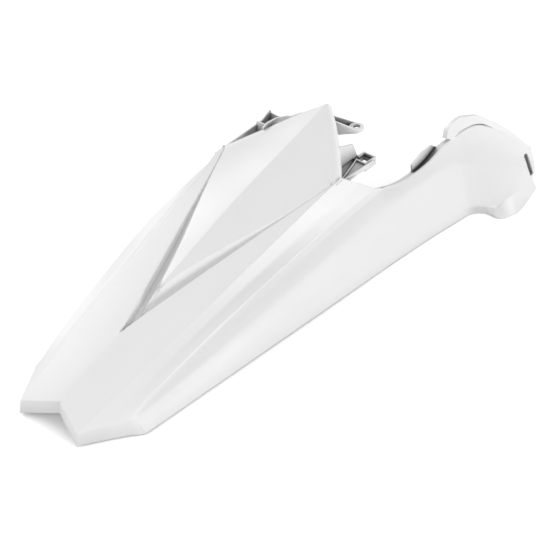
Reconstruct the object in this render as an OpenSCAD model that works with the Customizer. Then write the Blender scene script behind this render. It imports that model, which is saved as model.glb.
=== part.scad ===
// Rear fender of an off-road motorcycle: one injection moulding that carries the tail,
// the saddle behind the seat and the right side panel with its flared front end.
// Sizes are worked out from the tips of the tail prongs, the centre plane of the deck and the plane of the
// lower edges. The finished part has its origin below the middle of its box, on the plane that it rests on.
// X runs forward, Y to the left and Z up.

/* [Tail] */
// Distance from the centre plane to the tip of each tail prong
prong_half = 52; // [44:1:60]
// Depth of the notch between the prongs
notch_depth = 23; // [14:1:30]
// Height of the prong tips over the lower edge plane
prong_h = 22; // [20:1:26]
// How far forward of the prong tips the rear corners lie
corner_back = 72; // [60:1:84]
// Half width of the tail at the top of its rear corners
corner_half = 92; // [86:1:96]
// Half width of the tail at the foot of its rear corners
foot_half = 104; // [100:1:110]

/* [Saddle] */
// Distance forward from the prong tips to the peak of the saddle
peak_x = 567; // [550:1:584]
// Height of the peak
peak_h = 230; // [224:1:236]
// Where the front edge of the saddle meets the crests
crest_x = 466; // [456:1:476]
// How far the right crest runs on past the front edge
crest_tip = 18; // [12:1:22]
// How much sooner the left crest meets the front edge
left_cut = 31; // [26:1:36]
// Half width between the crests at the front edge
crest_half = 95.5; // [93:0.5:98]
// Height of the crests at the front edge
crest_h = 184; // [180:1:187]
// Height of the crown of the rear deck over its crests
crown_h = 8; // [5:1:11]

/* [Arrow] */
// Where the two grooves meet behind the arrow
groove_x = 141; // [136:1:152]
// Depth of the grooves beside the point of the arrow
groove_d = 9; // [6:1:11]
// Width of the grooves beside the point of the arrow
groove_w = 19; // [16:1:22]
// Rise of the ridge of the arrow over its edges
ridge_rise = 8; // [5:1:10]
// Rise of the arrow over the deck beside its point
arrow_lift = 3; // [1:0.5:4]

/* [Side] */
// Half width over the shoulders at the front of the saddle
shoulder_half = 120; // [116:1:123]
// Height of the shoulders at the front of the saddle
shoulder_h = 153; // [149:1:157]
// Half width over the waist line where the side panel begins
waist_half = 108; // [106:1:112]
// Height of the waist line there
waist_h = 87; // [83:1:91]
// Half width over the lower edge at the front of the side panel
sill_half = 133; // [130:1:136]
// How far forward the lower edge runs straight
sill_x = 750; // [740:1:760]
// Height of the turned-in lip along the lower edge
lip_h = 7; // [5:1:9]

/* [Moulding] */
// Thickness of the wall
wall = 3; // [2.4:0.1:3.4]

/* [Front end of the side panel] */
// Distance forward from the prong tips to the front of the flared end
flare_x = 844; // [836:1:852]
// Half width over the flared end
flare_half = 187; // [182:1:192]
// Height of the top of the flared end
flare_h = 190; // [186:1:194]
// Length of the slot in the flared end
slot_l = 46; // [38:1:52]
// Width of that slot
slot_w = 5.5; // [5:0.5:7]

/* [Ear] */
// Bore of the mounting ear ahead of the saddle
ear_bore = 11; // [8:0.5:12]
// Outside diameter of the ear
ear_d = 21; // [18:0.5:23]
// Depth of the ear and its two ribs
ear_depth = 12; // [9:0.5:15]
// How far right of the centre plane the ear stands
ear_side = 45; // [42:1:48]
// Reach of the ear's bore ahead of the front edge of the saddle
ear_reach = 58; // [54:1:62]
// How far the top of the ear lies below the front edge of the saddle
ear_drop = 7; // [6:0.5:9]

/* [Inside] */
// Thickness of the ribs under the deck
rib_t = 2.4; // [2:0.1:3]
// Depth of the ribs under the deck
rib_depth = 11; // [8:1:14]
// Height of the clip shelves over the shoulders
clip_rise = 11; // [9:1:13]
// Length of each clip socket
clip_l = 25; // [22:1:28]
// Width of each clip socket
clip_w = 23; // [20:1:26]
// Depth of each clip socket
clip_tall = 18; // [14:1:22]
// Width of the flange inside the rim of the side panel
flange_w = 14; // [10:1:16]
// Width of the slit below the hood of the flared end
slit_w = 3.2; // [2.6:0.2:4]

/* [Hidden] */
body_steps = 40;
arm_steps = 26;
rib_start = 250;
rib_end = 545;
rib_reach = 48;
cross_ribs = [330, 420, 500];
ear_floor = 3;

// Rises from 0 at a to 1 at b with level ends
function ease(a, b, x) = let (t = min(max((x - a) / (b - a), 0), 1)) t * t * (3 - 2 * t);
function mix(a, b, t) = a + (b - a) * t;
// A point of the smooth curve through a list of points, at 0 for the first and 1 for the last
function through(list, t) =
    let (n = len(list) - 1, s = min(max(t, 0), 1) * n, k = min(floor(s), n - 1), f = s - k,
         p = list[k], q = list[k + 1],
         dp = (k > 0) ? (q - list[k - 1]) / 2 : q - p,
         dq = (k < n - 1) ? (list[k + 2] - p) / 2 : q - p)
    p * (1 + 2 * f) * (1 - f) * (1 - f) + dp * f * (1 - f) * (1 - f)
    + q * f * f * (3 - 2 * f) + dq * f * f * (f - 1);

// The crests: straight lines in space on both sides of the deck
crest_slope = (crest_h - prong_h) / crest_x;
function crest_z(x) = prong_h + crest_slope * x;
function crest_v(x) = mix(prong_half, crest_half, x / crest_x);

// The grooves of the arrow. From outside in, each has an edge, a steep wall, a floor and a sloping flank
// that rises to the edge of the arrow. The flanks of the two sides meet in the arrow's nose.
function groove_line(x) = let (r = max(x - groove_x, 0)) 0.262 * r + 0.00008 * r * r;
function groove_gap(x) = groove_w * (1 - 0.86 * ease(groove_x + 90, groove_x + 290, x));
function groove_wall(x) = groove_line(x) - 0.1 * groove_gap(x);
function groove_foot(x) = groove_line(x) - 0.55 * groove_gap(x);
function groove_top(x) = groove_line(x) - groove_gap(x);
function groove_depth(x) =
    groove_d * ease(groove_x - 8, groove_x + 18, x) * (1 - 0.9 * ease(groove_x + 110, groove_x + 290, x));

// Height of the crowned deck without its grooves
function crown_z(x, v) =
    let (share = min(v / crest_v(x), 1))
    crest_z(x) + crown_h * (1 - share * share) * ease(-60, 90, x)
    + (peak_h - crest_z(peak_x) - crown_h - ridge_rise) * ease(crest_x - 86, peak_x, x) * (1 - share);
// Height of the deck at x, and at v from the centre plane
function deck_z(x, v) =
    let (outer = groove_line(x), wall_v = groove_wall(x), foot = groove_foot(x), top = groove_top(x),
         rim = crown_z(x, outer), floor_z = rim - groove_depth(x),
         edge = crown_z(x, max(top, 0)) + arrow_lift * (1 - ease(groove_x + 110, groove_x + 290, x)),
         roof = ridge_rise * ease(groove_x + 60, groove_x + 150, x) * max(1 - v / max(top, 1), 0))
    (x <= groove_x || v >= outer) ? crown_z(x, v) :
    (v >= wall_v) ? mix(floor_z, rim, (v - wall_v) / (outer - wall_v)) :
    (v >= foot) ? floor_z :
    (v >= top) ? mix(floor_z, edge, (foot - v) / (foot - top)) :
    edge + roof + crown_z(x, v) - crown_z(x, max(top, 0));

// Rails over the deck, from the centre plane outwards to the crest, at least a little apart
deck_rails = 11;
crest_rail = deck_rails - 1;
least_gap = 0.8;
function deck_v(j, x) =
    let (half = crest_v(x),
         top = max(groove_top(x), 3 * least_gap),
         foot = max(groove_foot(x), 4 * least_gap),
         low = max(groove_wall(x), 5 * least_gap),
         outer = min(max(groove_line(x), low + least_gap * 0.8), half - 6))
    (j <= 3) ? min(top, outer - 3 * least_gap) * j / 3 :
    (j == 4) ? min(foot, outer - 2 * least_gap) :
    (j == 5) ? min(low, outer - least_gap) :
    (j == 6) ? outer : mix(outer, half, [0.3, 0.6, 0.85, 1][j - 7]);

// Front end of each deck rail: the arrow-shaped front edge of the saddle
function front_x(v, left) =
    mix(crest_x - (left ? left_cut : 0), peak_x, pow(1 - min(v / crest_half, 1), 0.86));
// Tail end of each deck rail: the notch between the prongs
function tail_x(v) = (v < prong_half) ? notch_depth * (1 - v / prong_half)
    : corner_back * (v - prong_half) / (corner_half - prong_half);

// Rails down the side: face, shoulder, hollow band, waist and lower edge.
// Each has a tail end, a front end and a bow at its middle, as [x, v, z].
side_rails = [
    [[34, 71, prong_h], [511, 109, 172], [0, 0, 10]],
    [[58, 84, prong_h], [535, shoulder_half - 4, shoulder_h + 1], [0, 9, 23]],
    [[62, 87, prong_h], [556, shoulder_half - 3, shoulder_h - 10], [0, 5, 15]],
    [[65, 89, prong_h - 0.5], [562, 113, 118], [0, 0, 3]],
    [[68, 90.5, prong_h - 1], [566, 109.5, 100], [0, -3, -8]],
    [[corner_back, corner_half, prong_h - 2], [570, waist_half, waist_h + 1], [0, -1, -12]],
    [[corner_back + 1, mix(corner_half, foot_half, 0.35), 14], [575, 112.5, 62], [0, 0, -7]],
    [[corner_back + 2, mix(corner_half, foot_half, 0.7), 7], [580, 117.5, 32], [0, 0, -3]],
    [[corner_back + 3, foot_half - 0.5, 1.5], [586, 123, lip_h], [0, 0, 0]],
    [[corner_back + 2, foot_half - 2, 0], [586, 120, 0], [0, 0, 0]]
];
band_rail = crest_rail + 3;
waist_rail = crest_rail + 6;
last_rail = crest_rail + len(side_rails);
function side_point(j, u) =
    let (r = side_rails[j - deck_rails], bow = 4 * u * (1 - u)) mix(r[0], r[1], u) + r[2] * bow;

// A point of the outer face of the body: rail j, and u from 0 at the tail to 1 at the front
function deck_point(j, u, left = false) =
    let (v0 = prong_half * j / crest_rail,
         front = front_x(deck_v(j, front_x(deck_v(j, crest_x), left)), left),
         x = mix(tail_x(v0), front + ((j == crest_rail && !left) ? crest_tip : 0), u),
         v = mix(v0 * crest_v(x) / prong_half, deck_v(j, x), ease(0, 110, x)))
    [x, v, deck_z(x, v)];
function body_point(j, u, side) =
    let (a = abs(j),
         face_end = (a == deck_rails && side > 0) ? 0.93 : 1,
         p = (a <= crest_rail) ? deck_point(a, u, side > 0) : side_point(a, u * face_end))
    [p[0], side * p[1], p[2]];

// Rolled front edge of the saddle: how far it runs outwards and down, step by step
roll_steps = [[4, -0.8], [8, -4], [10, -11]];
function front_normal(j, left) =
    let (a = deck_point(max(j - 1, 0), 1, left),
         b = deck_point(min(j + 1, crest_rail - 1), 1, left),
         d = [b[1] - a[1], a[0] - b[0]])
    (j == 0 || j == crest_rail) ? [1, 0] : d / norm(d);
function roll_point(j, k, side) =
    let (a = abs(j),
         p = deck_point(a, 1, side > 0),
         near = pow(a / crest_rail, 6),
         d = mix(front_normal(a, side > 0), [1, 0], near),
         r = roll_steps[k] * (1 - 0.8 * near),
         n = d / norm(d) * r[0])
    [p[0] + n[0], side * (p[1] + n[1]), p[2] + r[1] * (1 - pow(a / crest_rail, 3))];

// Lines along the right side panel and its flared end, as [x, v, z]: its top edge, waist, fold and foot.
// A point of the flared end is a share of the way forward, of the way out and of the height.
function flare(along, out, up) =
    [mix(sill_x, flare_x, along), mix(sill_half, flare_half, out), flare_h * up];
panel_top = [[556, shoulder_half - 3, shoulder_h - 10], [588, 120.5, 136], [620, 122, 135.5],
    [652, 124, 141], [680, 126.5, 153.5], [704, 130, 160],
    flare(-0.3, 0.03, 0.871), flare(-0.053, 0.2, 0.876), flare(0.277, 0.472, 0.779),
    flare(0.564, 0.731, 0.642), flare(0.734, 0.852, 0.553), flare(0.84, 0.907, 0.511)];
panel_waist = [[570, waist_half, waist_h + 1], [604, 111, 97], [637, 113.5, 103], [668, 116, 107],
    [696, 120, 108.5], [718, 125.5, 108],
    flare(-0.149, 0, 0.547), flare(0.064, 0.222, 0.516), flare(0.287, 0.444, 0.474),
    flare(0.5, 0.657, 0.421), flare(0.723, 0.843, 0.368), flare(0.915, 0.954, 0.316)];
panel_fold = [[580, 117.5, 32], [618, 120.2, 35], [654, 122.5, 36], [687, 125, 34],
    [716, 129.5, 28],
    flare(-0.064, 0.033, 0.104), flare(0.117, 0.156, 0.083), flare(0.235, 0.34, 0.073),
    flare(0.303, 0.509, 0.078), flare(0.385, 0.66, 0.142), flare(0.585, 0.843, 0.2), flare(0.872, 0.963, 0.253)];
panel_foot = [[585, 120, 0], [624, 122, 0], [661, 124, 0], [696, 126.5, 0],
    [727, 129.5, 0], flare(0, -0.02, 0), flare(0.16, 0.176, 0), flare(0.213, 0.407, 0),
    flare(0.218, 0.648, 0), flare(0.362, 0.85, 0), flare(0.66, 0.917, 0.005), flare(0.98, 0.985, 0.126)];
function panel_raw(j, u) =
    let (top = through(panel_top, u),
         waist = through(panel_waist, u),
         fold = through(panel_fold, u),
         foot = through(panel_foot, u),
         lip = mix(1, 0.25, ease(0.38, 0.55, u)),
         k = j - band_rail,
         swell = 2 * ease(0.5, 0.75, u) * [0, 0.9, 1, 0.5, 0.3, 0, 0, 0][k])
    [0, swell, 0] + ((k <= 3) ? mix(top, waist, k / 3) :
                     (k <= 5) ? mix(waist, fold, (k - 3) / 2) :
                     (k == 6) ? foot + [1, 3, lip_h] * lip : foot);
function panel_point(j, u) =
    let (p = panel_raw(j, u) + (side_point(j, 1) - panel_raw(j, 0)) * (1 - ease(0, 0.3, u)))
    [p[0], -p[1], p[2]];

// Hood over the top edge of the flared end: a small step back from the edge, a wall up to its own crest and
// a strip that rolls inwards. It uses the three columns before the panel's top edge, and a row of cells
// between the first step and the edge is left open as a slit.
hood_row = body_steps + 11;
slit_row = hood_row + 1;
slit_cells = 6;
hood_step = 1.3;
hood_top = [flare(-0.628, -0.139, 0.925), flare(-0.564, -0.124, 0.978), flare(-0.383, -0.065, 0.99),
    flare(-0.234, 0.007, 0.979), flare(-0.096, 0.102, 0.964), flare(0.021, 0.185, 0.93),
    flare(0.16, 0.296, 0.88), flare(0.309, 0.426, 0.822), flare(0.468, 0.569, 0.75),
    flare(0.638, 0.717, 0.655), flare(0.745, 0.802, 0.588), flare(0.84, 0.874, 0.55)];
// Inward direction of the panel near its top edge
function inward(u) =
    let (a = panel_point(band_rail, max(u - 0.03, 0)),
         b = panel_point(band_rail, min(u + 0.03, 1)),
         n = [a[1] - b[1], b[0] - a[0]])
    [n[0], n[1], 0] / norm(n);
function hood_point(i, j) =
    let (u = (i - body_steps) / arm_steps,
         t = (i - hood_row) / (rows - hood_row),
         c = through(hood_top, t),
         top = [c[0], -c[1], c[2]],
         n = inward(u),
         open = i > slit_row && i < slit_row + slit_cells)
    (j == band_rail - 1) ? panel_point(band_rail, u) + n * hood_step + [0, 0, slit_w * (open ? 1 : 0.5)] :
    (j == band_rail - 2) ? top : top + n * mix(10, 6, t) - [0, 0, 2];

// The whole grid: rows from the foot of the tail skirt forwards, columns from the left lower edge to the
// right one.
// The skirt's own sides are the first points of the side rails below the waist.
skirt_rows = last_rail - waist_rail;
skirt_drop = [0.3, 0.65, 0.93, 1];
rows = body_steps + arm_steps;
function skirt_point(j, k) =
    let (p = body_point(j, 0, (j < 0) ? 1 : -1), f = skirt_drop[k - 1])
    [p[0] - 2.5 * f, p[1] * (1 + 0.01 * f), p[2] - (prong_h - 2) * f];
// The body's rows lie closer together round the nose of the arrow
function row_u(i) =
    let (t = i / body_steps)
    (t < 0.2) ? t : (t < 0.5) ? mix(0.2, 0.36, (t - 0.2) / 0.3) : mix(0.36, 1, (t - 0.5) / 0.5);
function grid_point(i, j) =
    (i < 0) ? skirt_point(j, -i) :
    (i <= body_steps) ? body_point(j, row_u(i), (j < 0) ? 1 : -1) :
    (j >= band_rail) ? panel_point(j, (i - body_steps) / arm_steps) :
    (j >= crest_rail && i >= hood_row) ? hood_point(i, j) :
    (abs(j) > crest_rail) ? [0, 0, 0] :
    roll_point(j, min(i - body_steps, len(roll_steps)) - 1, (j < 0) ? 1 : -1);
// Which cells of the grid are wall
function roll_cell(i, j) = abs(j + 0.5) < crest_rail && i < body_steps + len(roll_steps);
function slit_cell(i, j) = j == band_rail - 1 && i >= slit_row && i < slit_row + slit_cells;
function hood_cell(i, j) = j >= crest_rail && i >= hood_row && !slit_cell(i, j);
function cell(i, j) =
    (i < 0) ? i >= -skirt_rows && abs(j + 0.5) < waist_rail :
    i < rows && abs(j + 0.5) < last_rail
    && (i < body_steps || roll_cell(i, j) || j >= band_rail || hood_cell(i, j));

columns = 2 * last_rail + 1;
grid = [for (i = [-skirt_rows : rows]) [for (j = [-last_rail : last_rail]) grid_point(i, j)]];
function index(i, j) =
    (i < 0 && abs(j) == waist_rail) ? skirt_rows * columns + last_rail + sign(j) * (waist_rail - i)
    : (i + skirt_rows) * columns + j + last_rail;
flat_grid = [for (row = grid) each row];
function at(i, j) = flat_grid[index(i, j)];
function cell_normal(i, j) =
    let (n = cross(at(i + 1, j + 1) - at(i, j), at(i + 1, j) - at(i, j + 1))) n / max(norm(n), 0.0001);
function total(list, k = 0) = (k >= len(list)) ? [0, 0, 0] : list[k] + total(list, k + 1);
// Cells of the skirt that share a point of the tail's rear corners
function skirt_cells(i, j) =
    (i == 0 && abs(j) > waist_rail)
    ? let (k = abs(j) - waist_rail, c = (j > 0) ? waist_rail - 1 : -waist_rail)
        [for (d = [-k - 1, -k]) if (d >= -skirt_rows) [d, c]] : [];
function point_normal(i, j) =
    let (own = [for (di = [-1, 0], dj = [-1, 0]) if (cell(i + di, j + dj)) [i + di, j + dj]],
         n = total([for (c = concat(own, skirt_cells(i, j))) cell_normal(c[0], c[1])]))
    (norm(n) > 0) ? n / norm(n) : [0, 0, 1];
inner_grid = [for (i = [-skirt_rows : rows], j = [-last_rail : last_rail])
    at(i, j) - point_normal(i, j) * wall];

module moulded_wall() {
    count = len(flat_grid);
    function quad(a, b, c, d) = [[c, b, a], [d, c, a]];
    // Two triangles for the cell between four points, split along the shorter diagonal of its outer side
    function shorter(a, b, c, d) = norm(flat_grid[a] - flat_grid[c]) < norm(flat_grid[b] - flat_grid[d]);
    function face(a, b, c, d, across) = across ? quad(a, b, c, d) : quad(b, c, d, a);
    faces = [for (i = [-skirt_rows : rows - 1], j = [-last_rail : last_rail - 1]) if (cell(i, j))
        let (a = index(i, j), b = index(i, j + 1), c = index(i + 1, j + 1), d = index(i + 1, j),
             across = shorter(a, b, c, d), corner = i < 0 && (j == waist_rail - 1 || j == -waist_rail),
             joined = i == 0 && abs(j + 0.5) > waist_rail)
        each concat(
            face(a, b, c, d, across),
            face(count + a, count + d, count + c, count + b, across),
            (cell(i - 1, j) || joined) ? [] : quad(a, count + a, count + b, b),
            cell(i + 1, j) ? [] : quad(d, c, count + c, count + d),
            (cell(i, j - 1) || (corner && j < 0)) ? [] : quad(a, d, count + d, count + a),
            (cell(i, j + 1) || (corner && j > 0)) ? [] : quad(b, count + b, count + c, c))];
    polyhedron(concat(flat_grid, inner_grid), faces, convexity = 12);
}

// Solid through a list of rings that each have the same number of points
module loft(rings) {
    n = len(rings[0]);
    last = len(rings) - 1;
    faces = concat([[for (k = [n - 1 : -1 : 0]) k]], [[for (k = [0 : n - 1]) last * n + k]],
        [for (i = [0 : last - 1], k = [0 : n - 1]) let (m = (k + 1) % n) each
            [[(i + 1) * n + m, (i + 1) * n + k, i * n + k], [i * n + m, (i + 1) * n + m, i * n + k]]]);
    polyhedron([for (r = rings) each r], faces, convexity = 6);
}

// A rib under the deck: its top follows the inside of the deck from start to end, both as [x, y]
module deck_rib(start, end, depth, steps) {
    sunk = wall * 0.6;
    d = end - start;
    side = [-d[1], d[0]] / norm(d) * rib_t / 2;
    loft([for (k = [0 : steps]) let (p = mix(start, end, k / steps), top = deck_z(p[0], abs(p[1])) - sunk)
        [for (c = [[1, 0], [1, -depth], [-1, -depth], [-1, 0]])
            [p[0] + c[0] * side[0], p[1] + c[0] * side[1], top + c[1]]]]);
}
module under_ribs() {
    deck_rib([rib_start, 0], [rib_end, 0], rib_depth, 14);
    for (x = cross_ribs)
        deck_rib([x, -rib_reach], [x, rib_reach], rib_depth, 16);
}

// Ear ahead of the saddle: a floor, two ribs and a ring round its bore
ear_foot = front_x(ear_side, false);
ear_x = ear_foot + ear_reach;
ear_h = deck_z(ear_foot, ear_side) - ear_drop;
module ear_body() {
    foot = ear_foot - 4;
    translate([0, -ear_side, ear_h - ear_depth]) {
        translate([ear_x, 0, 0]) cylinder(d = ear_d, h = ear_depth, $fn = 40);
        linear_extrude(ear_floor)
            polygon([[foot, 15], [ear_x, ear_d / 2], [ear_x, -ear_d / 2], [foot, -6]]);
        for (s = [1, -1]) {
            y0 = (s > 0) ? 13 : -4;
            y1 = s * (ear_d - ear_floor) / 2;
            translate([foot, y0, 0]) rotate([0, 0, atan2(y1 - y0, ear_x - foot)])
                translate([0, -ear_floor / 2, 0])
                    cube([norm([ear_x - foot, y1 - y0]), ear_floor, ear_depth - 0.5]);
        }
    }
}
module ear_hole() {
    translate([ear_x, -ear_side, ear_h - ear_depth - 1])
        cylinder(d = ear_bore, h = ear_depth + 2, $fn = 40);
}

// Clip bracket at the saddle's front corner: a shelf from the side wall, a web from the deck, two ribs and
// a socket. It is drawn for the left and mirrored for the right.
clip_z = shoulder_h + clip_rise;
clip_x = 556;
clip_side = 60;
module clip_bracket() {
    web = clip_side - 3;
    translate([0, web + wall, 0]) rotate([90, 0, 0]) linear_extrude(wall)
        polygon([[500, clip_z], [500, deck_z(500, web) - wall / 2], [510, deck_z(510, web) - wall / 2],
            [530, clip_z + 38], [557, clip_z + 29], [565, clip_z + 9], [569, clip_z]]);
    difference() {
        union() {
            translate([0, 0, clip_z]) linear_extrude(wall)
                polygon([[512, 108.5], [532, 110], [clip_x + 20, clip_side + 26],
                    [clip_x + clip_l, clip_side + 16], [clip_x + clip_l - 6, web], [504, web]]);
            for (r = [[[572, 82], [524, 107]], [[556, 62], [518, 100]]]) {
                d = r[1] - r[0];
                translate([r[0][0], r[0][1], clip_z + 1]) rotate([0, 0, atan2(d[1], d[0])])
                    translate([0, -rib_t / 2, 0]) cube([norm(d), rib_t, 6]);
            }
            translate([clip_x, clip_side, clip_z + 6 - clip_tall]) cube([clip_l, clip_w, clip_tall]);
        }
        clip_hole(wall);
    }
}
// The socket's opening, inset from its outside on all four sides
module clip_hole(inset) {
    translate([clip_x + inset, clip_side + inset, clip_z + 5 - clip_tall])
        cube([clip_l - 2 * inset, clip_w - 2 * inset, clip_tall + 2]);
}

// Flange and seat tab inside the rim of the right side panel
module rim_flange() {
    steps = 14;
    inner = wall / 2;
    loft([for (k = [0 : steps]) let (p = panel_point(band_rail, k / steps * 0.42))
        [for (c = [[flange_w, -5], [flange_w, -5 - wall], [inner, -1 - wall], [inner, -1]])
            p + [0, c[0], c[1]]]]);
    rim = panel_point(band_rail, 0.27);
    translate([rim[0], rim[1] + flange_w, rim[2] - 14]) rotate([90, 0, 0]) linear_extrude(wall)
        polygon([[-18, 4], [14, 2], [55, 4], [18, 26], [-20, 17]]);
}

slot_lean = 70.5;
module end_slot() {
    middle_of = flare(0.777, 0.5, 0.397);
    translate([middle_of[0], -flare_half - 20, middle_of[2]]) rotate([-90, 0, 0])
        rotate([0, 0, slot_lean]) linear_extrude(60) hull()
            for (s = [1, -1])
                translate([s * (slot_l - slot_w) / 2, 0]) circle(d = slot_w, $fn = 16);
}

// The middle of the moulding's box on the plane of the lower edges, which becomes the origin
wall_points = [for (i = [-skirt_rows : rows - 1], j = [-last_rail : last_rail - 1]) if (cell(i, j))
    each [at(i, j), at(i + 1, j + 1), inner_grid[index(i, j)], inner_grid[index(i + 1, j + 1)]]];
function middle(axis) = let (list = [for (p = wall_points) p[axis]]) (min(list) + max(list)) / 2;
centre = [middle(0), middle(1), min([for (p = wall_points) p[2]])];

module fender() {
    color("white") translate(-centre) difference() {
        union() {
            moulded_wall();
            under_ribs();
            ear_body();
            clip_bracket();
            mirror([0, 1, 0]) clip_bracket();
            rim_flange();
        }
        ear_hole();
        end_slot();
    }
}
fender();
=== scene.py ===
import math

import bpy
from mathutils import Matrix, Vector


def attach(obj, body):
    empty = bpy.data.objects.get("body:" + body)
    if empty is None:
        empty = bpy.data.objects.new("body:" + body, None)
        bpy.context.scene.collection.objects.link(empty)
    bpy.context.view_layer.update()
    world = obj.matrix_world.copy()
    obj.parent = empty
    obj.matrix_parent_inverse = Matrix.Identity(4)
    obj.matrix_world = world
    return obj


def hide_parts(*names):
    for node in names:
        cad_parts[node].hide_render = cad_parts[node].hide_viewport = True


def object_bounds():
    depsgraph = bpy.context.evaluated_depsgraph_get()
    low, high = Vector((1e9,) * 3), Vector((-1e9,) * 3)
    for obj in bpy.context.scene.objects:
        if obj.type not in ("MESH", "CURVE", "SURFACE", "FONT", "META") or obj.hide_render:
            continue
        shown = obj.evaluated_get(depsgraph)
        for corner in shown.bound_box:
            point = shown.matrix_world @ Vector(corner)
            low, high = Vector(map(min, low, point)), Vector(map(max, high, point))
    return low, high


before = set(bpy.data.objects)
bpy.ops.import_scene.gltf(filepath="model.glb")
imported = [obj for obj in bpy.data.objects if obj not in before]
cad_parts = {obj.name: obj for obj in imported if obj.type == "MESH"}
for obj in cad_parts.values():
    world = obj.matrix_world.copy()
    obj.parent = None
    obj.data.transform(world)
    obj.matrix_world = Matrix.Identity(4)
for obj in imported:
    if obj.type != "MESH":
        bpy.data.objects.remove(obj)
cad_low, cad_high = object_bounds()

# Place of the part's origin in the sizes that the part is worked out in, in mm
CENTRE = (419.935, -31.97, -0.915)


def place(x, y, z):
    """A point in mm of the source's sizes, in metres of the shared frame."""
    return Vector(((x - CENTRE[0]) / 1000, (y - CENTRE[1]) / 1000, (z - CENTRE[2]) / 1000))


# Sizes, in mm, as in the source. The tail
prong_half, notch_depth, prong_h = 52, 23, 22
corner_back, corner_half, foot_half = 72, 92, 104
# The deck and the saddle: peak, crests and crown
peak_x, peak_h = 567, 230
crest_x, crest_half, crest_h, crest_tip = 466, 95.5, 184, 18
crown_h, left_cut = 8, 31
# The arrow, its ridge and its grooves, which fade out towards the front
groove_x, groove_d, groove_w = 141, 9, 19
ridge_rise, arrow_lift, least_gap = 8, 3, 0.8
gap_from, fade_from, fade_to = groove_x + 90, groove_x + 110, groove_x + 290
# The sides
shoulder_half, shoulder_h = 120, 153
waist_half, waist_h = 108, 87
sill_half, sill_x = 133, 750
lip_h, wall = 7, 3
# The flared end of the right panel, its slanted slot as (x, z) and lean, and the slit of its hood
flare_x, flare_half, flare_h = 844, 187, 190
slot_l, slot_w, slit_w = 46, 5.5, 3.2
slot_place, slot_lean = (823.038, 75.43), math.radians(70.5)
# The ear
ear_bore, ear_d, ear_depth, ear_floor = 11, 21, 12, 3
ear_side, ear_reach, ear_drop = 45, 58, 7
# The clip brackets, the flange and the ribs
clip_rise, clip_l, clip_w, flange_w = 11, 25, 23, 14
clip_z, clip_x, clip_side = shoulder_h + clip_rise, 556, 60
rib_t, rib_depth = 2.4, 11

# Sizes that only the visual model has, as the photograph shows them: lower sockets and a thinner ear
tray, ear_plate = 13, 5.5
left_dip, ridge_slope = 5, 0.15
collar_w, collar_sunk, collar_deep = 2.4, 1.4, 9
ledge_w, ledge_sunk, flange_sunk = 9, 1.2, 5
edge_chamfer = 0.7


def ease(a, b, x):
    """A soft step from 0 at a to 1 at b."""
    t = min(max((x - a) / (b - a), 0), 1)
    return t * t * (3 - 2 * t)


def mix(a, b, t):
    """The value or point a share t of the way from a to b."""
    if isinstance(a, (list, tuple)):
        return [p + (q - p) * t for p, q in zip(a, b)]
    return a + (b - a) * t


def add(a, b, share=1.0):
    """Point a moved by a share of b."""
    return [p + q * share for p, q in zip(a, b)]


def through(points, t):
    """A point of the smooth curve through a list of points, at 0 for the first and 1 for the last."""
    n = len(points) - 1
    s = min(max(t, 0), 1) * n
    k = min(int(s), n - 1)
    f = s - k
    out = []
    for c in range(len(points[0])):
        p, q = points[k][c], points[k + 1][c]
        dp = (q - points[k - 1][c]) / 2 if k > 0 else q - p
        dq = (points[k + 2][c] - p) / 2 if k < n - 1 else q - p
        out.append(p * (1 + 2 * f) * (1 - f) ** 2 + dp * f * (1 - f) ** 2
                   + q * f * f * (3 - 2 * f) + dq * f * f * (f - 1))
    return out


def crest_z(x):
    """Height of the crest line."""
    return prong_h + (crest_h - prong_h) / crest_x * x


def crest_v(x):
    """Distance of the crest line from the centre plane."""
    return mix(prong_half, crest_half, x / crest_x)


def groove_line(x):
    """Distance of the groove's outer line from the centre plane."""
    r = max(x - groove_x, 0)
    return 0.262 * r + 0.00008 * r * r


def groove_gap(x):
    """Width of the groove."""
    return groove_w * (1 - 0.86 * ease(gap_from, fade_to, x))


def groove_depth(x):
    """Depth of the groove below its outer line."""
    return groove_d * ease(groove_x - 8, groove_x + 18, x) * (1 - 0.9 * ease(fade_from, fade_to, x))


def crown_z(x, v):
    """Height of the deck without its arrow, at a distance v from the centre plane."""
    share = min(v / crest_v(x), 1)
    peak_rise = peak_h - crest_z(peak_x) - crown_h - ridge_rise
    return (crest_z(x) + crown_h * (1 - share ** 1.3) * ease(-60, 90, x)
            + peak_rise * ease(crest_x - 86, peak_x, x) * (1 - share))


def deck_z(x, v):
    """Height of the deck with the arrow and its grooves."""
    outer, gap = groove_line(x), groove_gap(x)
    wall_v, foot, top = outer - 0.1 * gap, outer - 0.55 * gap, outer - gap
    if x <= groove_x or v >= outer:
        return crown_z(x, v)
    rim = crown_z(x, outer)
    floor_z = rim - groove_depth(x)
    edge = crown_z(x, max(top, 0)) + arrow_lift * (1 - ease(fade_from, fade_to, x))
    if v >= wall_v:
        return mix(floor_z, rim, (v - wall_v) / (outer - wall_v))
    if v >= foot:
        return floor_z
    if v >= top:
        return mix(floor_z, edge, (foot - v) / (foot - top))
    rise = min(ridge_rise * ease(groove_x + 60, groove_x + 150, x), ridge_slope * max(top, 0))
    roof = rise * max(1 - v / max(top, 1), 0)
    return edge + roof + crown_z(x, v) - crown_z(x, max(top, 0))


def dip(x, v):
    """The left half of the saddle is a little flatter towards its front, as in the photograph."""
    share = min(v / crest_v(x), 1)
    return left_dip * ease(330, 480, x) * 4 * share * (1 - share)


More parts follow.
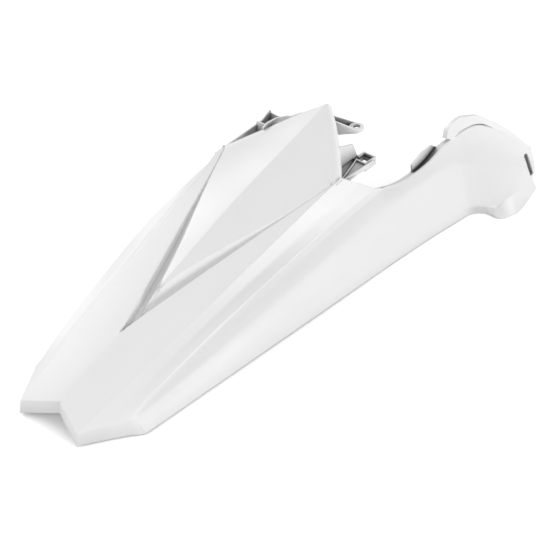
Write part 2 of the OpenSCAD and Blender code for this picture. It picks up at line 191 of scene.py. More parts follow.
def deck_v_rail(j, x):
    """Distance of the deck's rail j from the centre plane: 3 to 6 follow the groove and 10 is the crest."""
    half, outer0, gap = crest_v(x), groove_line(x), groove_gap(x)
    top = max(outer0 - gap, 3 * least_gap)
    foot = max(outer0 - 0.55 * gap, 4 * least_gap)
    low = max(outer0 - 0.1 * gap, 5 * least_gap)
    outer = min(max(outer0, low + least_gap * 0.8), half - 6)
    if j <= 3:
        return min(top, outer - 3 * least_gap) * j / 3
    if j == 4:
        return min(foot, outer - 2 * least_gap)
    if j == 5:
        return min(low, outer - least_gap)
    if j == 6:
        return outer
    return mix(outer, half, (0.3, 0.6, 0.85, 1)[j - 7])


def deck_v(j, x):
    """Distance of any place j across the deck from the centre plane, between two rails."""
    k = min(int(j), 9)
    return mix(deck_v_rail(k, x), deck_v_rail(k + 1, x), j - k)


def front_x(v, left):
    """Where the saddle ends in front."""
    return mix(crest_x - (left_cut if left else 0), peak_x, max(1 - min(v / crest_half, 1), 0) ** 0.86)


def tail_x(v):
    """Where the tail begins: the notch, and the slanted ends of the prongs."""
    if v < prong_half:
        return notch_depth * (1 - v / prong_half)
    return corner_back * (v - prong_half) / (corner_half - prong_half)


# Lines of the sides from below the crest to the turned-in lip: start, end and the bow between them
side_rails = [
    [[34, 71, prong_h], [511, 109, 172], [0, 0, 10]],
    [[58, 84, prong_h], [535, shoulder_half - 4, shoulder_h + 1], [0, 9, 23]],
    [[62, 87, prong_h], [556, shoulder_half - 3, shoulder_h - 10], [0, 5, 15]],
    [[65, 89, prong_h - 0.5], [562, 110.5, 118], [0, -1, 3]],
    [[68, 90.5, prong_h - 1], [566, 107.5, 100], [0, -4, -8]],
    [[corner_back, corner_half, prong_h - 2], [570, waist_half, waist_h + 1], [0, -1, -12]],
    [[corner_back + 1, mix(corner_half, foot_half, 0.35), 14], [575, 112.5, 62], [0, 0, -7]],
    [[corner_back + 2, mix(corner_half, foot_half, 0.7), 7], [580, 117.5, 32], [0, 0, -3]],
    [[corner_back + 3, foot_half - 0.5, 1.5], [586, 123, lip_h], [0, 0, 0]],
    [[corner_back + 2, foot_half - 2, 0], [586, 120, 0], [0, 0, 0]],
]


def side_point(a, u):
    """A point of the side's line a, 11 to 20, a share u of the way from tail to front."""
    r = side_rails[a - 11]
    return add(mix(r[0], r[1], u), r[2], 4 * u * (1 - u))


def deck_point(j, u, left):
    """A point of the deck at place j across, a share u of the way from tail to front."""
    v0 = prong_half * j / 10
    x1 = front_x(deck_v(j, front_x(deck_v(j, crest_x), left)), left)
    if not left:
        x1 += crest_tip * ease(9.5, 10, j)
    x = mix(tail_x(v0), x1, u)
    v = mix(v0 * crest_v(x) / prong_half, deck_v(j, x), ease(0, 110, x))
    return [x, v, deck_z(x, v) - (dip(x, v) if left else 0)]


# The deck's own lines in a row: denser where the arrow's grooves and ridge bend
deck_stations = [0, 0.6, 1.2, 1.8, 2.4, 3, 3.5, 4, 4.5, 5, 5.5, 6,
                 6.35, 6.7, 7, 7.35, 7.7, 8, 8.35, 8.7, 9, 9.35, 9.7, 10]


def deck_rounding(j, u):
    """Radius and number of points of the corner at place j: the ridge, the groove's edges and the crest."""
    if j == 0:
        return mix(0.3, 2.2, ease(0.3, 0.5, u)), 3
    if j == 10:
        return mix(1.6, 2.4, ease(0.2, 0.6, u)), 5
    return {3: (1.4, 3), 4: (1.0, 3), 5: (1.0, 3), 6: (1.5, 5)}.get(j, (0.0, 0))


def side_rounding(a, u):
    """Radius of the corner at the side's line a: soft along the bands and small at the lip."""
    if a == 12:
        return mix(9.0, 2.0, ease(0.15, 0.55, u))
    if a == 13:
        return mix(9.0, 4.0, ease(0.3, 0.7, u)) * (1 - ease(0.9, 1, u)) + 0.4
    return {11: 5.0, 18: 9.0, 19: 1.6}.get(a, 14.0)


def half_row(u, left):
    """Points from the centre plane to the lip as (place across, point, rounding, number of points).

    The place across runs from 0 at the centre plane over 10 at the crest to 20 at the lip.
    """
    out = [(j, deck_point(j, u, left), *deck_rounding(j, u)) for j in deck_stations]
    for a in range(11, 21):
        # The uppermost line of the left side is shorter, as the saddle's left crest is
        end = 0.93 if a == 11 and left else 1.0
        out.append((a, side_point(a, u * end), side_rounding(a, u), 0 if a == 20 else 5))
    return out


def length(a, b):
    """Distance between two points."""
    return math.sqrt(sum((p - q) ** 2 for p, q in zip(a, b)))


def rounded(points):
    """Rounds the corners of a row. Each point is (place across, point, rounding, number of points)."""
    out = []
    for k, (j, p, r, n) in enumerate(points):
        if n == 0 or k == 0 or k == len(points) - 1:
            out.append((j, p))
            continue
        a, b = points[k - 1][1], points[k + 1][1]
        la, lb = max(length(p, a), 1e-6), max(length(p, b), 1e-6)
        t = min(r, 0.42 * la, 0.42 * lb)
        pa, pb = mix(p, a, t / la), mix(p, b, t / lb)
        for m in range(n):
            f = m / (n - 1)
            q = mix(mix(pa, p, f), mix(p, pb, f), f)
            out.append((j + (f - 0.5) * 0.2, q))
    return out


def full_row(u):
    """A whole row from the left lip to the right one, with negative places on the left."""
    left = [(-j, [p[0], p[1], p[2]], r, n) for j, p, r, n in half_row(u, True)]
    right = [(j, [p[0], -p[1], p[2]], r, n) for j, p, r, n in half_row(u, False)]
    left.reverse()
    # The centre plane's point is in both halves: keep one, with its rounding
    return rounded(left[:-1] + right)


def body_stations():
    """Shares of the length at which there is a row: denser where the arrow's grooves bend."""
    out = [k * 0.01 for k in range(15)]
    u = 0.15
    while u < 0.405:
        out.append(u)
        u += 0.0045
    while u < 0.985:
        out.append(u)
        u += 0.0095
    return [0, 0.003] + out[1:] + [0.993, 1.0]


# Section of the saddle's rolled front edge, as (run, drop)
roll_line = [[0, 0], [5, -0.8], [10.5, -4.5], [13, -12.5]]


def rolled(row, t):
    """The saddle's rolled front edge: the last row carried outwards and down, by a share t of the way."""
    deck = [k for k, (j, p) in enumerate(row) if abs(j) <= 10.001]
    out = []
    for k in deck:
        j, p = row[k]
        side = 1 if j < 0 else -1
        a, b = row[max(k - 3, deck[0])][1], row[min(k + 3, deck[-1])][1]
        d = [side * (abs(a[1]) - abs(b[1])), side * (b[0] - a[0])]
        size = math.hypot(d[0], d[1]) or 1
        d = [d[0] / size, d[1] / size]
        if abs(j) < 0.4:
            d = mix([1, 0], d, abs(j) / 0.4)
        # Near the crests the edge runs straight forward and rolls less
        near = min(abs(j) / 10, 1) ** 2.5
        d = mix(d, [1, 0], near)
        size = math.hypot(d[0], d[1]) or 1
        r = through(roll_line, t)
        run = r[0] * (1 - 0.8 * near)
        drop = r[1] * (1 - 0.8 * near) * (1 - min(abs(j) / 10, 1) ** 3)
        out.append((k, [p[0] + d[0] / size * run, p[1] + side * d[1] / size * run, p[2] + drop]))
    return out


def flare(along, out, up):
    """A point of the flared end as shares: forward and outward from the sill, and up from the ground."""
    return [mix(sill_x, flare_x, along), mix(sill_half, flare_half, out), flare_h * up]


# Lines of the right side panel from the saddle to the flared end
panel_top = [[556, shoulder_half - 3, shoulder_h - 10], [588, 120.5, 136], [620, 122, 135.5],
             [652, 124, 141], [680, 126.5, 153.5], [704, 130, 160],
             flare(-0.3, 0.03, 0.871), flare(-0.053, 0.2, 0.876), flare(0.277, 0.472, 0.779),
             flare(0.564, 0.731, 0.642), flare(0.734, 0.852, 0.553), flare(0.84, 0.907, 0.511)]
panel_waist = [[570, waist_half, waist_h + 1], [604, 111, 97], [637, 113.5, 103],
               [668, 116, 107], [696, 120, 108.5], [718, 125.5, 108],
               flare(-0.149, 0, 0.547), flare(0.064, 0.222, 0.516), flare(0.287, 0.444, 0.474),
               flare(0.5, 0.657, 0.421), flare(0.723, 0.843, 0.368), flare(0.915, 0.954, 0.316)]
panel_fold = [[580, 117.5, 32], [618, 120.2, 35], [654, 122.5, 36], [687, 125, 34],
              [716, 129.5, 28], [743, 135.5, 21], [758.5, 143.5, 18], [771.4, 151.5, 14.5],
              [781, 158.4, 12.7], [790.3, 165, 23], [806.8, 177, 36.3], [831.5, 185.3, 48.3]]
panel_foot = [[585, 120, 0], [624, 122, 0], [661, 124, 0], [696, 126.5, 0],
              [727, 129.5, 0], flare(0, -0.02, 0), flare(0.16, 0.176, 0), flare(0.213, 0.407, 0),
              flare(0.218, 0.648, 0), flare(0.362, 0.85, 0), flare(0.66, 0.917, 0.005),
              flare(0.98, 0.985, 0.126)]


def panel_raw(k, u):
    """Rail k of the panel: 0 at its top edge, 3 at its waist, 5 at its fold, 6 and 7 at its lip."""
    t, m, b, f = (through(line, u) for line in (panel_top, panel_waist, panel_fold, panel_foot))
    lip = mix(1, 0.25, ease(0.38, 0.55, u))
    swell = 2 * ease(0.5, 0.75, u) * (0, 0.9, 1, 0.5, 0.3, 0, 0, 0)[k]
    if k <= 3:
        p = mix(t, m, k / 3)
    elif k <= 5:
        p = mix(m, b, (k - 3) / 2)
    else:
        p = add(f, [1, 3, lip_h], lip) if k == 6 else f
    return add(p, [0, swell, 0])


def panel_point(k, u):
    """Rail k of the panel, joined smoothly to the end of the body's side."""
    raw, start, body = panel_raw(k, u), panel_raw(k, 0), side_point(13 + k, 1)
    p = add(raw, add(body, start, -1), 1 - ease(0, 0.3, u))
    return [p[0], -p[1], p[2]]


def panel_row(u):
    """A row of the panel from its top edge to its lip, with rounded creases."""
    top, first = panel_point(0, u), panel_point(1, u)
    # The first three points carry on the side's rounded corner
    t = 0.4 / max(length(top, first), 1)
    row = [(13.0, top, 0, 0), (13.05, mix(top, first, t * 0.5), 0, 0), (13.1, mix(top, first, t), 0, 0)]
    radii = [14.0, 14.0, 14.0, 14.0, mix(9.0, 2.2, ease(0.35, 0.55, u)), 1.6]
    row += [(13 + k, panel_point(k, u), r, 5) for k, r in enumerate(radii, 1)]
    row.append((20, panel_point(7, u), 0, 0))
    return rounded(row)


# Crest line of the hood, from its rear end to the front
hood_top = [flare(-0.65, -0.13, 0.862), flare(-0.6, -0.128, 0.95), flare(-0.383, -0.065, 0.99),
            flare(-0.234, 0.007, 0.979), flare(-0.096, 0.102, 0.964), flare(0.021, 0.185, 0.93),
            flare(0.16, 0.296, 0.88), flare(0.309, 0.426, 0.822), flare(0.468, 0.569, 0.75),
            flare(0.638, 0.717, 0.655), flare(0.745, 0.802, 0.588), flare(0.84, 0.874, 0.55)]
# The hood and its slit begin and end at steps of the source's panel
arm_steps, hood_step = 26, 1.3
hood_from, slit_from, slit_to = 11 / arm_steps, 12 / arm_steps, 18 / arm_steps


def inward(u):
    """Inward direction of the panel near its top edge."""
    a, b = panel_point(0, max(u - 0.03, 0)), panel_point(0, min(u + 0.03, 1))
    n = [a[1] - b[1], b[0] - a[0]]
    size = math.hypot(*n)
    return [n[0] / size, n[1] / size, 0]


def hood_row(u):
    """The hood from its rolled-in edge over its crest down to the step beside the panel's top edge."""
    t = (u - hood_from) / (1 - hood_from)
    c = through(hood_top, t)
    top, n, rim = [c[0], -c[1], c[2]], inward(u), panel_point(0, u)
    one = 1 / arm_steps
    opening = ease(slit_from, slit_from + one, u) * (1 - ease(slit_to - one, slit_to, u))
    step = add(add(rim, n, hood_step), [0, 0, slit_w * mix(0.5, 1, opening)])
    roll = add(add(top, n, mix(10, 6, t)), [0, 0, -2])
    line = [(0, roll, 0, 0), (1, mix(roll, top, 0.6), 0, 0), (2, top, 3.0, 5),
            (3, mix(top, step, 0.3), 0, 0), (4, mix(top, step, 0.75), 0, 0), (5, step, 0.8, 3),
            (6, mix(step, rim, 0.8), 0, 0)]
    return [p for j, p in rounded(line)][:-1]


class Grid:
    """Points and faces of one piece, in mm of the source's sizes."""

    def __init__(self):
        self.points = []
        self.faces = []

    def row(self, points):
        """Adds points and gives their numbers."""
        start = len(self.points)
        self.points.extend(points)
        return list(range(start, len(self.points)))

    def strip(self, a, b):
        """Adds the faces between two rows of point numbers."""
        for k in range(len(a) - 1):
            self.faces.append([a[k], a[k + 1], b[k + 1], b[k]])


def skirt_point(p, f):
    """A point of the tail's skirt, a share f down from the point p of its upper edge."""
    spread = f * max((abs(p[1]) - prong_half) / (corner_half - prong_half), 0) ** 2
    side = 1 if p[1] > 0 else -1
    return [p[0] - 2.5 * f + 5.5 * spread, p[1] * (1 + 0.01 * f) + side * 10.4 * spread,
            p[2] - (prong_h - 2) * f]


def shell_grid():
    """Outer face of the one-wall moulding: tail, saddle, sides and the right side panel with its hood."""
    g = Grid()
    rows = [full_row(u) for u in body_stations()]
    # Ease the edge between deck and skirt
    for k, (j, p) in enumerate(rows[0]):
        if abs(j) < 15.8:
            ahead = rows[1][k][1]
            p[0] += 0.25 * min(ahead[0] - p[0], 1.0) + 0.1
            p[2] -= 0.3
    ids = [g.row([p for j, p in row]) for row in rows]
    for a, b in zip(ids, ids[1:]):
        g.strip(a, b)
    last = rows[-1]
    deck = [k for k, (j, p) in enumerate(last) if abs(j) <= 10.001]
    before = [ids[-1][k] for k in deck]
    for m in range(1, 10):
        now = g.row([p for k, p in rolled(last, m / 9)])
        g.strip(before, now)
        before = now
    # The side panel runs on from the right side, from the line that becomes its top edge
    before = [ids[-1][k] for k, (j, p) in enumerate(last) if j >= 13 - 0.001]
    hood_before = None
    count = arm_steps * 4
    for m in range(1, count + 1):
        u = m / count
        now = g.row([p for j, p in panel_row(u)])
        g.strip(before, now)
        if u >= hood_from - 1e-9:
            hood_now = g.row(hood_row(u))
            if hood_before:
                slit = slit_from + 1e-9 < u <= slit_to + 1e-9
                g.strip(hood_before + ([] if slit else [before[0]]), hood_now + ([] if slit else [now[0]]))
            hood_before = hood_now
        before = now
    # The skirt under the tail drops from the first row, and its ends are the first points of the sides
    tail = rows[0]
    left = max(k for k, (j, p) in enumerate(tail) if j <= -15.999)
    right = min(k for k, (j, p) in enumerate(tail) if j >= 15.999)
    total = tail[right][1][2] - tail[-1][1][2]
    above = ids[0][left:right + 1]
    for m in range(right + 1, len(tail)):
        f = min((tail[right][1][2] - tail[m][1][2]) / total, 1)
        middle = [skirt_point(p, f) for j, p in tail[left + 1:right]]
        now = [ids[0][left - (m - right)]] + g.row(middle) + [ids[0][m]]
        g.strip(now, above)
        above = now
    return g


def thickened(name, g, t, chamfer):
    """A closed wall of thickness t inside an outer face, with its free rims chamfered."""
    mesh = bpy.data.meshes.new(name + "_face")
    mesh.from_pydata([Vector(p) for p in g.points], [], g.faces)
    mesh.update()
    normals = [n.vector.copy() for n in mesh.vertex_normals]
    bpy.data.meshes.remove(mesh)
    uses, ring = {}, {}
    for f in g.faces:
        for a, b in zip(f, f[1:] + f[:1]):
            uses[(a, b)] = uses.get((a, b), 0) + 1
            ring.setdefault(a, set()).add(b)
            ring.setdefault(b, set()).add(a)
    free = [e for e in uses if (e[1], e[0]) not in uses]
    rim = {v for e in free for v in e}
    outer = [Vector(p) for p in g.points]
    inner = [p - n * t for p, n in zip(outer, normals)]
    edge = {}
    for v in rim:
        inside = [w for w in ring[v] if w not in rim]
        edge[v] = outer[v].copy()
        if inside:
            steps = [Vector(g.points[w]) - Vector(g.points[v]) for w in inside]
            pull = sum(steps, Vector()) / len(inside)
            step = pull.normalized() * min(chamfer, pull.length * 0.5)
            outer[v] = outer[v] + step
            inner[v] = inner[v] + step
    n = len(outer)
    points = outer + inner
    near, far = {}, {}
    for v in rim:
        near[v] = len(points)
        points.append(edge[v] - normals[v] * chamfer)
        far[v] = len(points)
        points.append(edge[v] - normals[v] * (t - chamfer))
    faces = list(g.faces) + [[n + k for k in reversed(f)] for f in g.faces]
    for a, b in free:
        faces.append([b, a, near[a], near[b]])
        faces.append([near[b], near[a], far[a], far[b]])
        faces.append([far[b], far[a], n + a, n + b])
    return points, faces


def linked(name, points, faces):
    """A smooth-shaded object of points in the shared frame, in metres."""
    mesh = bpy.data.meshes.new(name)
    mesh.from_pydata(points, [], faces)
    mesh.update()
    for poly in mesh.polygons:
        poly.use_smooth = True
    obj = bpy.data.objects.new(name, mesh)
    bpy.context.scene.collection.objects.link(obj)
    return obj


def mesh_object(name, points, faces):
    """An object of points in mm of the source's sizes."""
    return linked(name, [place(*p) for p in points], faces)


def loft(rings):
    """Points and faces of a solid through rings that each have the same number of points."""
    n = len(rings[0])
    points = [p for r in rings for p in r]
    faces = [list(range(n))[::-1], [(len(rings) - 1) * n + k for k in range(n)]]
    for i in range(len(rings) - 1):
        for k in range(n):
            m = (k + 1) % n
            faces.append([i * n + k, i * n + m, (i + 1) * n + m, (i + 1) * n + k])
    return points, faces


def slab(outline, z0, z1):
    """A flat plate between two heights, from its outline as (x, y), counterclockwise."""
    return loft([[[x, y, z] for x, y in outline] for z in (z0, z1)])


def joined(name, solids):
    """One object of several closed solids."""
    points, faces = [], []
    for p, f in solids:
        start = len(points)
        points += p
        faces += [[start + k for k in face] for face in f]
    return mesh_object(name, points, faces)


def cut(obj, cutter):
    """Takes a cutter out of an object for good and removes the cutter."""
    mod = obj.modifiers.new("cut", "BOOLEAN")
    mod.operation, mod.solver, mod.object = "DIFFERENCE", "EXACT", cutter
    depsgraph = bpy.context.evaluated_depsgraph_get()
    mesh = bpy.data.meshes.new_from_object(obj.evaluated_get(depsgraph))
    obj.modifiers.remove(mod)
    obj.data = mesh
    bpy.data.objects.remove(cutter, do_unlink=True)


def soften(obj, width=0.35):
    """Small rounded edges, as a mould leaves them."""
    mod = obj.modifiers.new("edges", "BEVEL")
    mod.width, mod.segments, mod.limit_method, mod.angle_limit = width / 1000, 2, "ANGLE", math.radians(40)
    mod = obj.modifiers.new("normals", "WEIGHTED_NORMAL")
    mod.keep_sharp = True
    return obj


def disc(cx, cy, r, z0, z1, n=48):
    """A round plate between two heights."""
    angles = [2 * math.pi * k / n for k in range(n)]
    return slab([(cx + r * math.cos(a), cy + r * math.sin(a)) for a in angles], z0, z1)


def half_across(a, b, width):
    """Half the width of a rib from a to b, as a step sideways."""
    dx, dy = b[0] - a[0], b[1] - a[1]
    size = math.hypot(dx, dy)
    return -dy / size * width / 2, dx / size * width / 2


def bar(a, b, width, z0, z1):
    """An upright rib from a to b, both as (x, y)."""
    sx, sy = half_across(a, b, width)
    return slab([(a[0] - sx, a[1] - sy), (b[0] - sx, b[1] - sy),
                 (b[0] + sx, b[1] + sy), (a[0] + sx, a[1] + sy)], z0, z1)


def wedge(a, b, width, top):
    """An upright rib from a (x, y, foot) to b (x, y, foot, top), with the given top at a."""
    sx, sy = half_across(a, b, width)
    return loft([[[x - sx, y - sy, z0], [x + sx, y + sy, z0], [x + sx, y + sy, z1], [x - sx, y - sy, z1]]
                 for x, y, z0, z1 in ((*a, top), b)])


def deck_rib(start, end, steps):
    """A rib under the deck from start to end, with its top inside the deck's wall."""
    sunk = wall * 0.6
    sx, sy = half_across(start, end, rib_t)
    section = [(1, 0), (-1, 0), (-1, -rib_depth), (1, -rib_depth)]
    rings = []
    for k in range(steps + 1):
        x, y = mix(start[0], end[0], k / steps), mix(start[1], end[1], k / steps)
        top = deck_z(x, abs(y)) - sunk - (dip(x, y) if y > 0 else 0)
        rings.append([[x + c * sx, y + c * sy, top + d] for c, d in section])
    return loft(rings)


def ear():
    """The ear ahead of the saddle: a floor, two side walls and a ring round its bore."""
    foot_x = front_x(ear_side, False)
    x1, y0 = foot_x + ear_reach, -ear_side
    top = deck_z(foot_x, ear_side) - ear_drop
    z0, low = top - ear_plate, top - ear_depth
    # The arm runs slantwise from under the saddle's front edge to the ring. Its outline is (x, y, z)
    outline = [(552, -18, low), (574, -53, z0), (591, -38, z0), (565, -8, low)]
    floor_plate = loft([[[x, y, z + d] for x, y, z in outline] for d in (0, ear_floor)])
    near_side = wedge((575.5, -53, z0), (553, -17, low, 220), ear_floor, top - 0.4)
    far_side = wedge((590, -37.5, z0), (564, -9, low, 219), ear_floor, top - 0.4)
    ring = disc(x1, y0, ear_d / 2, z0, top)
    bore = disc(x1, y0, ear_bore / 2, z0 - 1, top + 1)
    parts = [joined("ear_part", [solid]) for solid in (floor_plate, near_side, far_side, ring)]
    for part in parts:
        cut(part, mesh_object("ear_bore", *bore))
    return merged("fender_ear", parts)


def merged(name, parts):
    """One object of the meshes of several, which are removed."""
    points, faces = [], []
    for part in parts:
        start = len(points)
        points += [v.co.copy() for v in part.data.vertices]
        faces += [[start + k for k in p.vertices] for p in part.data.polygons]
        bpy.data.objects.remove(part, do_unlink=True)
    return linked(name, points, faces)


def mirrored(solid):
    """The same solid on the other side of the centre plane."""
    points, faces = solid
    return [[x, -y, z] for x, y, z in points], [f[::-1] for f in faces]


def block(x0, x1, y0, y1, z0, z1):
    """A rectangular solid between two places along each axis."""
    return slab([(x0, y0), (x1, y0), (x1, y1), (x0, y1)], z0, z1)


def left_frame():
    """The left bracket's outer plate, which carries on from the crest, and its small open frame."""
    # The plate's outline is (x, z), and it lies between two distances from the centre plane
    edge = [(440, 163.5), (560, 163.5), (560, 186.5), (556, 186.5), (540, 178), (440, 172)]
    plate = loft([[[x, y, z] for x, z in edge] for y in (97, 94)])
    # Three upright walls, each from one (x, y) to another, and a tongue that reaches forward from the corner
    frame_t = 2.6
    sides = [((558.7, 95.5), (558.7, 68)), ((560, 69.3), (528, 69.3)), ((529.3, 68), (529.3, 95.5))]
    tongue = bar((558, 69), (588, 60), frame_t, clip_z + 6, clip_z + 19)
    return [plate] + [bar(a, b, frame_t, clip_z + 1, clip_z + 18.5) for a, b in sides] + [tongue]


def clip_bracket(name, side):
    """Shelf, web, two ribs and an open socket at a front corner of the saddle. Side 1 is left, -1 right."""
    back, web, rim = 500, clip_side - wall, clip_z + 6
    x0, x1, y0, y1 = clip_x, clip_x + clip_l, clip_side, clip_side + clip_w
    shelf = slab([(back, 88), (back, web), (x1 - 6, web), (x1 + 2, y0 + 7), (x1 + 3, y0 + 19),
                  (x0 + 14, y0 + 28), (536, 86)], clip_z, clip_z + wall)
    # The web hangs from the deck, and its outline is (x, z)
    profile = [(back, clip_z), (569, clip_z), (565, clip_z + 9), (557, clip_z + 29), (530, clip_z + 38),
               (510, deck_z(510, web) - wall / 2), (back, deck_z(back, web) - wall / 2)]
    plate = loft([[[x, y, z] for x, z in profile] for y in (web + wall, web)])
    rib_ends = [((570, 86), (502, 84)), ((566, 62), (504, 82))]
    ribs = [bar(a, b, rib_t, clip_z + 1, clip_z + 7) for a, b in rib_ends]
    solids = [shelf, plate] + ribs + [block(x0, x1, y0, y1, rim - tray, rim)]
    if side > 0:
        solids += left_frame()
    hole = block(x0 + wall, x1 - wall, y0 + wall, y1 - wall, rim - 1 - tray, rim + 2)
    if side < 0:
        solids = [mirrored(solid) for solid in solids]
        hole = mirrored(hole)
    parts = [joined("clip_part", [solid]) for solid in solids]
    for part in parts:
        cut(part, mesh_object("clip_hole", *hole))
    return merged(name, parts)


def rim_flange():
    """The flange inside the panel's rim, which becomes a ledge behind the hood's slit, and the seat tab."""
    steps, inner = 66, wall / 2
    rings = []
    for k in range(steps + 1):
        u = k / steps * 0.7
        p, turn = panel_point(0, u), ease(0.4, 0.48, u)
        n = mix([0, 1, 0], inward(u), turn)
        reach, sunk = mix(flange_w, ledge_w, turn), mix(flange_sunk, ledge_sunk, turn)
        section = [(reach, -sunk), (inner, -1), (inner, -1 - wall), (reach, -sunk - wall)]
        rings.append([add(add(p, n, d), [0, 0, dz]) for d, dz in section])
    # The tab hangs inside the flange, and its outline is (x, z) from a point of the rim
    rim = panel_point(0, 0.27)
    outline = [(-24, 4), (14, 2), (55, 4), (20, 30), (-2, 29), (-26, 19)]
    tab = loft([[[rim[0] + x, y, rim[2] - 14 + z] for x, z in outline]
                for y in (rim[1] + flange_w, rim[1] + flange_w - wall)])
    return [loft(rings), tab]


def slot_outline(grow):
    """The slanted slot as (x, z): a long hole with round ends, made wider by grow on all sides."""
    outline = []
    for s in (1, -1):
        for k in range(17):
            angle = math.pi * (k / 16 - 0.5) + (0 if s > 0 else math.pi)
            a = s * (slot_l - slot_w) / 2 + (slot_w / 2 + grow) * math.cos(angle)
            b = (slot_w / 2 + grow) * math.sin(angle)
            outline.append((slot_place[0] + a * math.cos(slot_lean) - b * math.sin(slot_lean),
                            slot_place[1] - a * math.sin(slot_lean) - b * math.cos(slot_lean)))
    return outline


def slot_cutter():
    """A solid that takes the slot out of the flared end, straight along Y."""
    outline = slot_outline(0)
    reach = (-flare_half - 20, -flare_half + 40)
    return mesh_object("slot_cutter", *loft([[[x, y, z] for x, z in outline] for y in reach]))


def slot_collar(shell):
    """A raised rim round the slot on the inside of the flared end."""
    inner, outer = slot_outline(0), slot_outline(collar_w)
    # Where the panel's outer face lies behind each point of the rim
    deep = [shell.ray_cast(place(x, -250, z), Vector((0, 1, 0)))[1].y * 1000 + CENTRE[1] for x, z in outer]
    rings = [(outer, collar_sunk), (outer, collar_deep), (inner, collar_deep), (inner, collar_sunk)]
    points = [[x, y + d, z] for ring, d in rings for (x, z), y in zip(ring, deep)]
    n = len(outer)
    faces = [[r * n + k, r * n + (k + 1) % n, (r + 1) % 4 * n + (k + 1) % n, (r + 1) % 4 * n + k]
             for r in range(4) for k in range(n)]
    return points, faces


def link(tree, a, b):
    """Joins an output of one node to an input of another."""
    tree.links.new(a, b)


def node(tree, kind, values):
    """A new shader node of a kind, with the given values for its inputs."""
    made = tree.nodes.new("ShaderNode" + kind)
    for key, value in values.items():
        made.inputs[key].default_value = value
    return made


def multiplied(tree, a, b):
    """The product of two colours."""
    product = node(tree, "MixRGB", {"Fac": 1.0})
    product.blend_type = "MULTIPLY"
    link(tree, a, product.inputs["Color1"])
    link(tree, b, product.inputs["Color2"])
    return product.outputs["Color"]


def ramp(tree, source, low, high, colours):
    """Colours that run from the first at low to the second at high."""
    run = node(tree, "ValToRGB", {})
    for element, position, colour in zip(run.color_ramp.elements, (low, high), colours):
        element.position = position
        element.color = (*colour, 1)
    link(tree, source, run.inputs["Fac"])
    return run.outputs["Color"]


def noise(tree, coord, scale, detail, stretch=(1, 1, 1)):
    """Noise over the object's own coordinates."""
    space = node(tree, "Mapping", {"Scale": stretch})
    link(tree, coord, space.inputs["Vector"])
    cloud = node(tree, "TexNoise", {"Scale": scale, "Detail": detail})
    link(tree, space.outputs["Vector"], cloud.inputs["Vector"])
    return cloud.outputs["Fac"]


def white_plastic(name, reach, low, high, darkest):
    """Moulded white plastic: a fine grain, faint flow lines along the part and a slightly uneven gloss.

    Recesses get painted shade: as the openness over a distance of reach goes from low to high, the colour's
    share goes from darkest to full.
    """
    mat = bpy.data.materials.new(name)
    mat.use_nodes = True
    tree = mat.node_tree
    shader = tree.nodes["Principled BSDF"]
    shader.inputs["IOR"].default_value = 1.5
    shader.inputs["Specular IOR Level"].default_value = 0.35
    coord = tree.nodes.new("ShaderNodeTexCoord").outputs["Object"]
    flow = noise(tree, coord, 6.0, 5.0, (0.6, 2.2, 2.2))
    cloud = noise(tree, coord, 16.0, 4.0)
    grain = noise(tree, coord, 1400.0, 2.0)
    speck = noise(tree, coord, 260.0, 6.0)
    # Colour: the flow lines' tint, fine specks and painted shade in recesses
    tint = ramp(tree, flow, 0.3, 0.7, ((0.86, 0.86, 0.862), (0.885, 0.885, 0.883)))
    dust = ramp(tree, speck, 0.62, 0.8, ((1, 1, 1), (0.97, 0.97, 0.965)))
    # Painted shade: ambient occlusion darkens the colour in creases, recesses and between parts
    recess_painted_shade = node(tree, "AmbientOcclusion", {"Distance": reach})
    recess_painted_shade.samples = 8
    shade = ramp(tree, recess_painted_shade.outputs["AO"], low, high, ((darkest,) * 3, (1, 1, 1)))
    link(tree, multiplied(tree, multiplied(tree, tint, dust), shade), shader.inputs["Base Color"])
    # Gloss and relief
    rough = node(tree, "MapRange", {"From Min": 0.3, "From Max": 0.7, "To Min": 0.34, "To Max": 0.46})
    link(tree, cloud, rough.inputs["Value"])
    link(tree, rough.outputs["Result"], shader.inputs["Roughness"])
    bump = node(tree, "Bump", {"Strength": 0.08, "Distance": 0.0002})
    link(tree, grain, bump.inputs["Height"])
    wave = node(tree, "Bump", {"Strength": 0.1, "Distance": 0.0015})
    link(tree, flow, wave.inputs["Height"])
    link(tree, bump.outputs["Normal"], wave.inputs["Normal"])
    link(tree, wave.outputs["Normal"], shader.inputs["Normal"])
    return mat


def paper(name, seen, lit):
    """A plain pale ground. Its colour for the camera is set apart from what it sends back to the part."""
    mat = bpy.data.materials.new(name)
    mat.use_nodes = True
    tree = mat.node_tree
    shader = tree.nodes["Principled BSDF"]
    shader.inputs["Roughness"].default_value = 0.95
    shader.inputs["Specular IOR Level"].default_value = 0.0
    path = tree.nodes.new("ShaderNodeLightPath")
    pick = node(tree, "MixRGB", {"Color1": (lit, lit, lit, 1), "Color2": (seen, seen, seen, 1)})
    link(tree, path.outputs["Is Camera Ray"], pick.inputs["Fac"])
    link(tree, pick.outputs["Color"], shader.inputs["Base Color"])
    return mat


# The photograph's view: direction in degrees, distance in m, and its lens, centre and width in pixels
view_az, view_el, view_far = -50, 35.7, 3.0
view_focal, view_centre, view_frame = 2152.5, (295.3, 244.4), 550


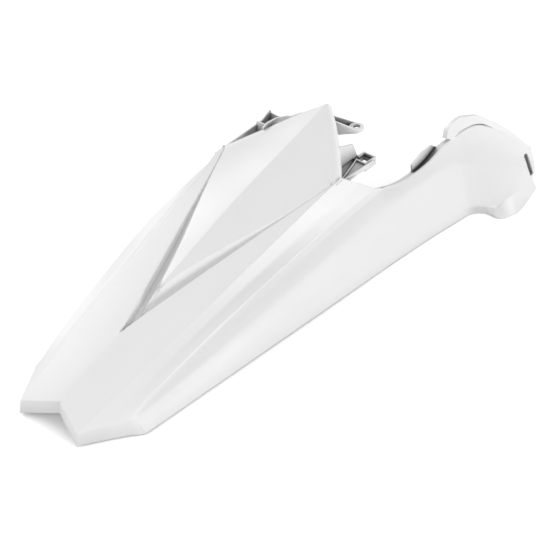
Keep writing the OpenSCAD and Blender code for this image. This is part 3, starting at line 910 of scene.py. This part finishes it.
def camera():
    """A camera with the photograph's view, which has the object off the middle as in the picture."""
    az, el = math.radians(view_az), math.radians(view_el)
    back = Vector((math.sin(az) * math.cos(el), -math.cos(az) * math.cos(el), math.sin(el)))
    data = bpy.data.cameras.new("camera")
    cam = bpy.data.objects.new("camera", data)
    bpy.context.scene.collection.objects.link(cam)
    data.sensor_fit = "HORIZONTAL"
    data.sensor_width = 36
    data.lens = data.sensor_width * view_focal / view_frame
    data.shift_x = (view_frame / 2 - view_centre[0]) / view_frame
    data.shift_y = (view_centre[1] - view_frame / 2) / view_frame
    data.clip_start = 0.1
    data.clip_end = 60
    cam.location = place(430, -60, 90) + back * view_far
    cam.rotation_mode = "QUATERNION"
    cam.rotation_quaternion = (-back).to_track_quat("-Z", "Y")
    bpy.context.scene.camera = cam


# Where every lamp points, in m
lamp_aim = (0, 0, 0.1)


def lamp(name, at, size, power):
    """A soft rectangular lamp that faces the middle of the part."""
    data = bpy.data.lights.new(name, "AREA")
    data.shape = "RECTANGLE"
    data.size, data.size_y = size
    data.energy = power
    obj = bpy.data.objects.new(name, data)
    bpy.context.scene.collection.objects.link(obj)
    obj.location = at
    obj.rotation_mode = "QUATERNION"
    obj.rotation_quaternion = (Vector(lamp_aim) - Vector(at)).to_track_quat("-Z", "Y")


def soft_room(level):
    """Even light from all round, and plain white where the camera looks past the floor."""
    world = bpy.data.worlds.new("world")
    bpy.context.scene.world = world
    world.use_nodes = True
    tree = world.node_tree
    back = tree.nodes["Background"]
    back.inputs["Color"].default_value = (1, 1, 1, 1)
    path = tree.nodes.new("ShaderNodeLightPath")
    strength = node(tree, "MapRange", {"To Min": level, "To Max": 1.0})
    link(tree, path.outputs["Is Camera Ray"], strength.inputs["Value"])
    link(tree, strength.outputs["Result"], back.inputs["Strength"])


# One plastic with three strengths of painted shade in recesses: the shell, the pieces under it and the
# flange in the deep rim
plain = white_plastic("white_plastic", reach=0.025, low=0.72, high=1.0, darkest=0.91)
inside = white_plastic("white_plastic_painted_deep_shade", reach=0.035, low=0.2, high=0.9, darkest=0.13)
shaded = white_plastic("white_plastic_shaded", reach=0.06, low=0.35, high=1.0, darkest=0.06)

points, faces = thickened("fender_shell", shell_grid(), wall, edge_chamfer)
# The front rim's chamfer stays behind the solid's foremost point
foremost = cad_high.x * 1000 + CENTRE[0] - 0.05
points = [[min(p[0], foremost), p[1], p[2]] for p in points]
shell = mesh_object("fender_shell", points, faces)
cut(shell, slot_cutter())
shell.modifiers.new("normals", "WEIGHTED_NORMAL").keep_sharp = True
# One rib along the middle and three across
ribs = [deck_rib((250, 0), (545, 0), 60)] + [deck_rib((x, -48), (x, 48), 40) for x in (330, 420, 500)]
# The collar finds the panel's face by rays, so the shell has to be up to date
bpy.context.view_layer.update()
collar = joined("fender_slot_collar", [slot_collar(shell)])
flange = joined("fender_rim_flange", rim_flange())
pieces = [shell, soften(ear())]
pieces += [soften(clip_bracket("fender_clip_left", 1)), soften(clip_bracket("fender_clip_right", -1))]
pieces += [soften(flange), soften(joined("fender_ribs", ribs)), soften(collar)]
for piece in pieces:
    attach(piece, "root")
    piece.data.materials.clear()
    # Painted shade: the flange gets the darkest recess shade, the smaller pieces a strong one and the shell
    # a faint one
    piece.data.materials.append({shell: plain, flange: shaded}.get(piece, inside))
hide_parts("fender")

bpy.ops.mesh.primitive_plane_add(size=16, location=(0, 0, cad_low.z - 0.0005))
floor = bpy.context.object
floor.name = "floor"
floor.data.materials.append(paper("ground", seen=1.4, lit=0.58))

camera()
lamp("left", (0.2, 2.9, 1.5), (2.4, 1.2), 53)
lamp("right_low", (0.5, -3.2, 0.8), (2.0, 1.2), 49)
lamp("right_high", (0.5, -2.3, 2.4), (2.0, 1.2), 23)
lamp("front", (3.2, 0.2, 1.2), (2.0, 1.2), 24)
lamp("tail", (-3.2, 0.6, 1.4), (2.0, 1.2), 48)
soft_room(0.3)
bpy.context.scene.view_settings.view_transform = "Standard"
